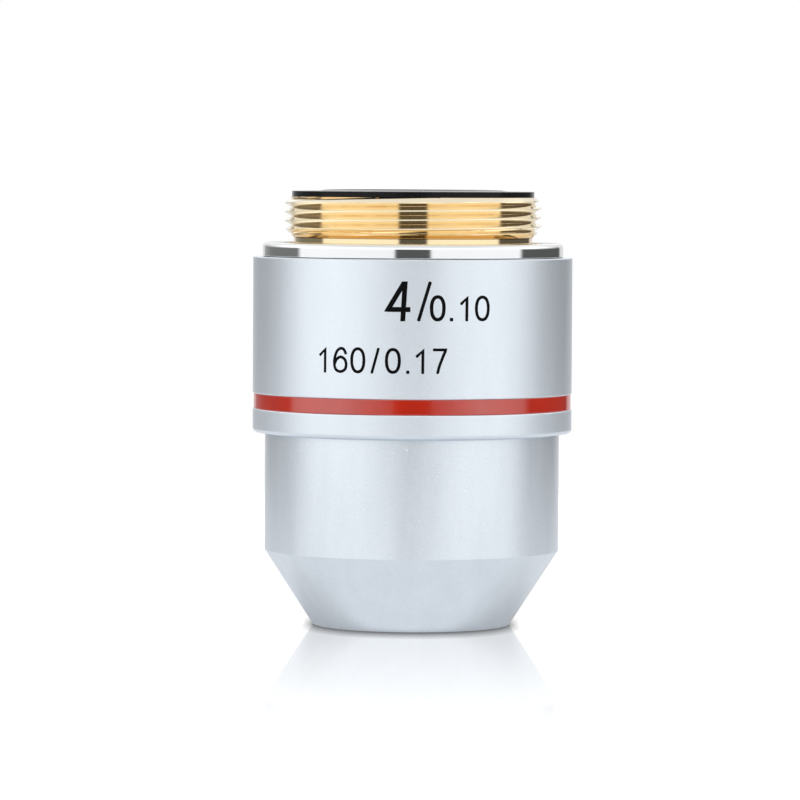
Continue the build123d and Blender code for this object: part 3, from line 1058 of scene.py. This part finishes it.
@dataclass(frozen=True)
class FigureRow:
    """One row of figures on the unrolled sleeve: its base line, and each figure's sides, top and stroke."""

    text: str
    bottom: float
    sides: tuple[Pair, ...]
    tops: tuple[float, ...]
    widths: tuple[float, ...]

    def figures(self) -> list[CutFigure]:
        """The row's figures in order."""
        rows = zip(self.text, self.sides, self.tops, self.widths)
        return [
            CutFigure(Figure(sign), left, right, self.bottom, top, width)
            for sign, (left, right), top, width in rows
        ]


UPPER_ROW = FigureRow(
    "4/0.10",
    bottom=-5.83,
    sides=((-2.19, -0.17), (0.35, 1.45), (1.32, 2.55), (2.88, 3.17), (3.70, 4.41), (4.91, 6.16)),
    tops=(-2.78, -2.78, -3.82, -5.55, -3.86, -3.86),
    widths=(0.38, 0.26, 0.27, 0.27, 0.23, 0.24),
)
LOWER_ROW = FigureRow(
    "160/0.17",
    bottom=-9.86,
    sides=((-7.62, -6.92), (-6.36, -5.12), (-4.88, -3.66), (-3.23, -2.53), (-2.11, -0.88), (-0.47, -0.21),
           (0.26, 0.97), (1.58, 2.70)),
    tops=(-7.88, -7.85, -7.86, -7.88, -7.88, -9.60, -7.90, -7.90),
    widths=(0.21, 0.22, 0.23, 0.21, 0.24, 0.25, 0.22, 0.22),
)


@dataclass(frozen=True)
class OuterSleeve(Assembly):
    """Satin sleeve with its colour band and two rows of filled figures."""

    radius: float = 12.60
    figure_height: float = 0.015
    figure_clear: float = 0.001
    figure_sink: float = 0.05
    top: float = -1.12
    bottom: float = -14.92
    top_chamfer: float = 0.06
    top_edges: Pair = (0.015, 0.03)
    bottom_round: float = 0.30
    bore: float = 10.62
    counterbore: float = 11.25
    counterbore_top: float = -9.12
    counterbore_edge: float = 0.04
    groove_edge: float = 0.09
    band_top: float = -11.85
    band_bottom: float = -13.05
    band_floor: float = 12.25
    band_radius: float = 12.51
    band_edge: float = 0.06

    def sleeve(self) -> Surface:
        """Sleeve turned from its section: chamfered top, rounded bottom, band groove and bores."""
        skin = self.radius - self.figure_height
        inner_edge, outer_edge = self.top_edges
        return Surface.turned([
            (self.bore, self.top),
            (skin - self.top_chamfer, self.top, inner_edge),
            (skin, self.top - self.top_chamfer, outer_edge),
            (skin, self.band_top, self.groove_edge),
            (self.band_floor, self.band_top),
            (self.band_floor, self.band_bottom),
            (skin, self.band_bottom, self.groove_edge),
            (skin, self.bottom, self.bottom_round),
            (self.counterbore, self.bottom, self.counterbore_edge),
            (self.counterbore, self.counterbore_top),
            (self.bore, self.counterbore_top),
        ])

    def band(self) -> Surface:
        """Ring of enamel in the groove, with softly rounded edges."""
        return Surface.turned([
            (self.band_floor, self.band_bottom),
            (self.band_radius, self.band_bottom, self.band_edge),
            (self.band_radius, self.band_top, self.band_edge),
            (self.band_floor, self.band_top),
        ])

    def figures(self, row: FigureRow) -> Surface:
        """All strokes of one row of figures as one surface."""
        low, high = self.radius - self.figure_sink, self.radius - self.figure_clear
        strokes = [(stroke, item) for item in row.figures() for stroke in item.strokes()]
        return Surface.joined(stroke_surface(stroke, item, low, high) for stroke, item in strokes)

    def pieces(self) -> list[Piece]:
        """Sleeve, band and the two rows of figures."""
        return [
            Piece("outer_sleeve_skin", self.sleeve(), (SLEEVE_CHROME,), Slot.CHROME, ("outer_sleeve",)),
            Piece("colour_band", self.band(), (BAND_ENAMEL,), Slot.ENAMEL, ("magnification_band",)),
            Piece("figures_upper", self.figures(UPPER_ROW), (INK_BLACK,), Slot.ANODISED),
            Piece("figures_lower", self.figures(LOWER_ROW), (INK_BLACK,), Slot.ANODISED),
        ]


@dataclass(frozen=True)
class NoseBarrel(Assembly):
    """Satin nose with a cone, a front rim and the collar that screws it to the mount."""

    radius: float = 11.60
    top: float = -14.92
    top_edge: float = 0.14
    cone_top: float = -24.222
    cone_edge: float = 0.06
    front: float = -30.15
    front_radius: float = 7.75
    front_round: float = 0.25
    collar_radius: float = 11.20
    collar_top: float = -9.52
    collar_bore: float = 10.12
    collar_edge: float = 0.05
    bore: float = 10.30
    bore_top: float = -14.72
    bore_cone_top: float = -23.837
    floor: float = -29.05
    floor_radius: float = 6.915
    hole: float = 6.40
    hole_chamfer: float = 0.20
    hole_edge: float = 0.02

    def pieces(self) -> list[Piece]:
        """The nose turned from its section, with a crisp edge where the cone starts."""
        surface = Surface.turned([
            (self.collar_bore, self.collar_top, self.collar_edge),
            (self.collar_radius, self.collar_top, self.collar_edge),
            (self.collar_radius, self.top),
            (self.radius, self.top, self.top_edge),
            (self.radius, self.cone_top, self.cone_edge),
            (self.front_radius, self.front, self.front_round),
            (self.hole + self.hole_chamfer, self.front, self.hole_edge),
            (self.hole, self.front + self.hole_chamfer, self.hole_edge),
            (self.hole, self.floor),
            (self.floor_radius, self.floor),
            (self.bore, self.bore_cone_top),
            (self.bore, self.bore_top),
            (self.collar_bore, self.bore_top),
        ])
        return [Piece("nose_skin", surface, (NOSE_CHROME,), Slot.CHROME, ("nose_barrel",))]


@dataclass(frozen=True)
class RearRing(Assembly):
    """Black flanged ring on the mount's top face, with two spanner slots."""

    outer: float = 9.55
    bottom: float = 3.60
    top: float = 4.17
    neck: float = 7.98
    neck_bottom: float = 2.46
    inner: float = 6.60
    fall: float = 0.12
    lip_radius: float = 7.55
    inner_chamfer: float = 0.30
    edge: float = 0.04
    fine_edge: float = 0.03
    slot_reach: float = 8.20
    slot_step: float = 0.001
    slot_width: float = 1.00
    slot_depth: float = 0.35

    def pieces(self) -> list[Piece]:
        """The ring with a lip that rises round its bore and slots cut from the bore outwards."""
        rim = self.top - self.fall
        profile = rounded_path([
            (self.inner, self.neck_bottom, self.edge),
            (self.neck, self.neck_bottom, self.edge),
            (self.neck, self.bottom),
            (self.outer, self.bottom, self.fine_edge),
            (self.outer, rim, self.edge),
            (self.slot_reach + self.slot_step, rim),
            (self.slot_reach, rim),
            (self.lip_radius, rim),
            (self.inner + self.inner_chamfer, self.top, self.fine_edge),
            (self.inner, self.top - self.inner_chamfer, self.fine_edge),
        ])
        slots = SlotPair(self.slot_width, self.top - self.slot_depth, self.slot_reach)
        surface = Surface.from_grid(slots.cut(profile))
        return [Piece("rear_glare_ring", surface, (RING_BLACK,), Slot.ANODISED, ("rear_ring",))]


@dataclass(frozen=True)
class ScrewedRing:
    """Slotted ring that holds a tube, a stack or a lens."""

    name: str
    node: str
    inner: float
    outer: float
    bottom: float
    top: float
    slot_width: float = 0.70
    slot_depth: float = 0.35
    slot_overrun: float = 1.0
    edge: float = 0.04
    edge_steps: int = 3

    def piece(self) -> Piece:
        """The ring with broken edges and its slots cut right across."""
        corners = [
            (self.inner, self.bottom),
            (self.outer, self.bottom),
            (self.outer, self.top, self.edge),
            (self.inner, self.top, self.edge),
        ]
        slots = SlotPair(self.slot_width, self.top - self.slot_depth, self.outer + self.slot_overrun)
        surface = Surface.from_grid(slots.cut(rounded_path(corners, steps=self.edge_steps)))
        return Piece(self.name, surface, (BLACK_INSIDE_AND_JOINT_SHADE,), Slot.BLACKENED, (self.node,))


@dataclass(frozen=True)
class GlassBody:
    """A single lens or a cemented pair: its outer faces and its rim."""

    name: str
    nodes: tuple[str, ...]
    half: float
    lower_radius: float
    lower_vertex: float
    upper_radius: float
    upper_vertex: float
    bevel: float
    finish: Finish
    slot: Slot

    def piece(self) -> Piece:
        """The glass turned from its two faces, with a flat bevel round a hollow lower face."""
        lower = spherical_face(self.lower_radius, self.lower_vertex, self.half - self.bevel)
        upper = spherical_face(self.upper_radius, self.upper_vertex, self.half)
        rim = np.array([[self.half, lower[-1, 1]]]) if self.bevel else np.empty((0, 2))
        profile = np.concatenate([lower, rim, upper[::-1]])
        surface = Surface.from_grid(revolved(profile, GLASS_COLUMNS))
        return Piece(self.name, surface, (self.finish,), self.slot, self.nodes)


RINGS = (
    ScrewedRing("tube_lock_ring", "parfocal_lock_ring", inner=6.22, outer=7.32, bottom=-2.063, top=-1.063),
    ScrewedRing("stack_ring", "stack_retaining_ring", inner=4.70, outer=5.80, bottom=-3.663, top=-2.463),
    ScrewedRing("rear_glass_ring", "rear_lens_retainer", inner=4.35, outer=5.18, bottom=-4.613, top=-3.813),
)
GLASS = (
    GlassBody(
        "rear_doublet", ("rear_crown_lens", "rear_flint_lens"), half=4.80,
        lower_radius=0.0, lower_vertex=-8.517, upper_radius=16.16, upper_vertex=-4.017, bevel=0.0,
        finish=REAR_GLASS, slot=Slot.CROWN,
    ),
    GlassBody(
        "middle_doublet", ("meniscus_crown_lens", "meniscus_flint_lens"), half=4.00,
        lower_radius=6.19, lower_vertex=-16.317, upper_radius=8.12, upper_vertex=-11.817, bevel=0.60,
        finish=REAR_GLASS, slot=Slot.FLINT,
    ),
    GlassBody(
        "front_meniscus", ("front_lens",), half=4.20,
        lower_radius=45.40, lower_vertex=-28.957, upper_radius=22.62, upper_vertex=-26.557, bevel=0.60,
        finish=FRONT_GLASS, slot=Slot.CROWN,
    ),
)


@dataclass(frozen=True)
class LensTrain(Assembly):
    """Glass, rings and front cell that show through the two ends of the objective."""

    front_cell_bottom: float = -29.60
    front_cell_flange: float = -28.60
    front_cell_top: float = -25.92
    front_flange_radius: float = 6.30
    front_flange_edge: float = 0.10
    front_cell_radius: float = 5.20
    front_screw: float = 4.60
    front_screw_start: float = -27.12
    front_lens_bore: float = 4.22
    front_seat: float = -29.10
    front_clear: float = 3.60
    front_lip_edge: float = 0.12

    def front_cell(self) -> Piece:
        """Cell of the front lens, with a bevelled lip round the glass."""
        surface = Surface.turned([
            (self.front_clear, self.front_cell_bottom, self.front_lip_edge),
            (self.front_flange_radius, self.front_cell_bottom, self.front_flange_edge),
            (self.front_flange_radius, self.front_cell_flange),
            (self.front_cell_radius, self.front_cell_flange),
            (self.front_cell_radius, self.front_cell_top),
            (self.front_screw, self.front_cell_top),
            (self.front_screw, self.front_screw_start),
            (self.front_lens_bore, self.front_screw_start),
            (self.front_lens_bore, self.front_seat),
            (self.front_clear, self.front_seat),
        ])
        return Piece("front_cell_ring", surface, (BLACK_INSIDE_AND_JOINT_SHADE,), Slot.BLACKENED, ("front_cell",))

    def pieces(self) -> list[Piece]:
        """Rings from the rear inwards, then the glass, then the front cell."""
        return [item.piece() for item in (*RINGS, *GLASS)] + [self.front_cell()]


@dataclass(frozen=True)
class HiddenMetal:
    """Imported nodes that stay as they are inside, in black finishes."""

    blackened: tuple[str, ...] = (
        "lens_tube", "front_lens_retainer", "middle_cell", "middle_lens_retainer", "rear_cell",
    )
    anodised: tuple[str, ...] = ("aperture_stop", "rear_spacer")

    def dress(self) -> None:
        """Puts the finishes on the nodes."""
        for names, finish in ((self.blackened, BLACK_INSIDE_AND_JOINT_SHADE), (self.anodised, RING_BLACK)):
            for name in names:
                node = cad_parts[name]
                node.data.materials.clear()
                node.data.materials.append(finish.material())
                LOG.info("%s: packed node in %s", name, finish.name)


@dataclass(frozen=True)
class Studio:
    """Pale table, soft light all round with a dark gap behind the camera, and the camera.

    Walls and back are stops of angle from the camera's side in degrees and strength of light. The ceiling's
    stops and the bounds between zones of light are heights of a direction of length 1.
    """

    floor: float = -30.16
    floor_radius: float = 165.0
    camera_distance: float = 405.0
    camera_height: float = 5.85
    aim_height: float = -13.0
    focal: float = 230.97
    sensor: float = 36.0
    clip: Pair = (0.01, 20.0)
    roll_degrees: float = 0.311
    shift: Pair = (-0.0151, 0.0092)
    low_to_wall: Pair = (-0.044, -0.030)
    wall_to_ceiling: Pair = (0.04, 0.27)
    zenith: Pair = (0.45, 0.85)
    wall: Stops = (
        (-180.0, 0.77), (-162.0, 0.80), (-156.0, 0.36), (-138.0, 0.20), (-99.0, 0.19), (-95.0, 1.07),
        (-14.5, 1.07), (-12.5, 0.10), (12.5, 0.10), (14.5, 1.07),
        (89.0, 1.07), (93.0, 0.10), (150.0, 0.10), (156.0, 0.77), (180.0, 0.77),
    )
    low_wall: Stops = (
        (-180.0, 0.77), (-162.0, 0.80), (-156.0, 0.36), (-138.0, 0.20), (-101.0, 0.17), (-94.0, 0.85),
        (-84.0, 1.1), (-70.0, 1.25), (-54.0, 1.25), (-38.0, 0.8), (-23.0, 0.42), (-14.0, 0.2), (-8.0, 0.07),
        (8.0, 0.07), (17.0, 0.2), (24.0, 0.4), (35.0, 0.72), (51.0, 1.25), (67.0, 1.05), (86.0, 0.75),
        (95.0, 0.12), (150.0, 0.10), (156.0, 0.77), (180.0, 0.77),
    )
    back: Stops = (
        (-180.0, 1.05), (-174.0, 1.05), (-166.0, 0.58), (-140.0, 0.7), (-115.0, 1.05),
        (115.0, 1.05), (140.0, 0.7), (166.0, 0.58), (174.0, 1.05), (180.0, 1.05),
    )
    ceiling: Stops = ((0.0, 1.4), (0.50, 1.4), (0.72, 0.95), (0.92, 0.85))

    def build(self) -> None:
        """Sets the table, the light and the camera."""
        self.table()
        self.light()
        self.camera()

    def table(self) -> None:
        """Flat round table under the object, turned face up."""
        places = (0.0, 0.5 * self.floor_radius, self.floor_radius)
        section = np.array([(place, self.floor) for place in places])
        surface = Surface.from_grid(revolved(section, TABLE_COLUMNS), ring_rows=False)
        table = surface.to_object("studio_table", [TableTop("white_table").material()])
        table.data.flip_normals()

    def light(self) -> None:
        """World light by direction: soft boxes at the sides, dark flags between them and the white wall.

        The angle from the camera's side is atan2(x, -y) of a direction (x, y, z). A little below level the
        flag behind the camera has soft edges. Steeper directions change over to the ceiling's light, which
        is weaker straight above and at the back beside the wall.
        """
        world = bpy.data.worlds.new("studio_light")
        bpy.context.scene.world = world
        world.use_nodes = True
        sketch = Sketch(world.node_tree)
        across, ahead, up = sketch.axes("Generated")
        angle = sketch.math("ARCTAN2", across, sketch.math("MULTIPLY", ahead, -1.0))
        turn = sketch.math("ADD", sketch.math("MULTIPLY", angle, 1.0 / TAU), 0.5)
        wall, low_wall, back = (
            sketch.greys(turn, [(degrees / 360.0 + 0.5, grey) for degrees, grey in stops])
            for stops in (self.wall, self.low_wall, self.back)
        )
        shade = sketch.blend(sketch.remap(up, *self.zenith), back, WHITE)
        ceiling = sketch.add("VectorMath", {"operation": "MULTIPLY"})
        ceiling = sketch.join(ceiling, sketch.greys(up, self.ceiling), shade).outputs[0]
        level = sketch.blend(sketch.remap(up, *self.low_to_wall), low_wall, wall)
        dome = sketch.blend(sketch.remap(up, *self.wall_to_ceiling), level, ceiling)
        seen = sketch.add("LightPath").outputs["Is Camera Ray"]
        shine = sketch.add("Background", Color=sketch.blend(seen, dome, WHITE), Strength=1.0)
        sketch.add("OutputWorld", Surface=shine.outputs[0])
        bpy.context.scene.view_settings.view_transform = "Standard"

    def camera(self) -> None:
        """Camera in front of the figures, rolled and shifted as the photograph is."""
        data = bpy.data.cameras.new("camera")
        data.sensor_fit = "HORIZONTAL"
        data.sensor_width = self.sensor
        data.lens = self.focal
        data.shift_x, data.shift_y = self.shift
        data.clip_start, data.clip_end = self.clip
        camera = bpy.data.objects.new("camera", data)
        place = Vector((0.0, -self.camera_distance, self.camera_height)) * MM
        aim = Vector((0.0, 0.0, self.aim_height)) * MM
        turn = (aim - place).to_track_quat("-Z", "Y").to_matrix().to_4x4()
        roll = Matrix.Rotation(math.radians(self.roll_degrees), 4, "Z")
        camera.matrix_world = Matrix.Translation(place) @ turn @ roll
        bpy.context.scene.collection.objects.link(camera)
        bpy.context.scene.camera = camera


def main() -> None:
    """Builds the pieces in order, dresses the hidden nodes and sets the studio."""
    logging.basicConfig(level=logging.INFO, format="%(name)s %(message)s")
    for assembly in (ThreadedMount(), OuterSleeve(), NoseBarrel(), RearRing(), LensTrain()):
        for piece in assembly.pieces():
            piece.place()
    HiddenMetal().dress()
    Studio().build()


if __name__ == "__main__":
    main()
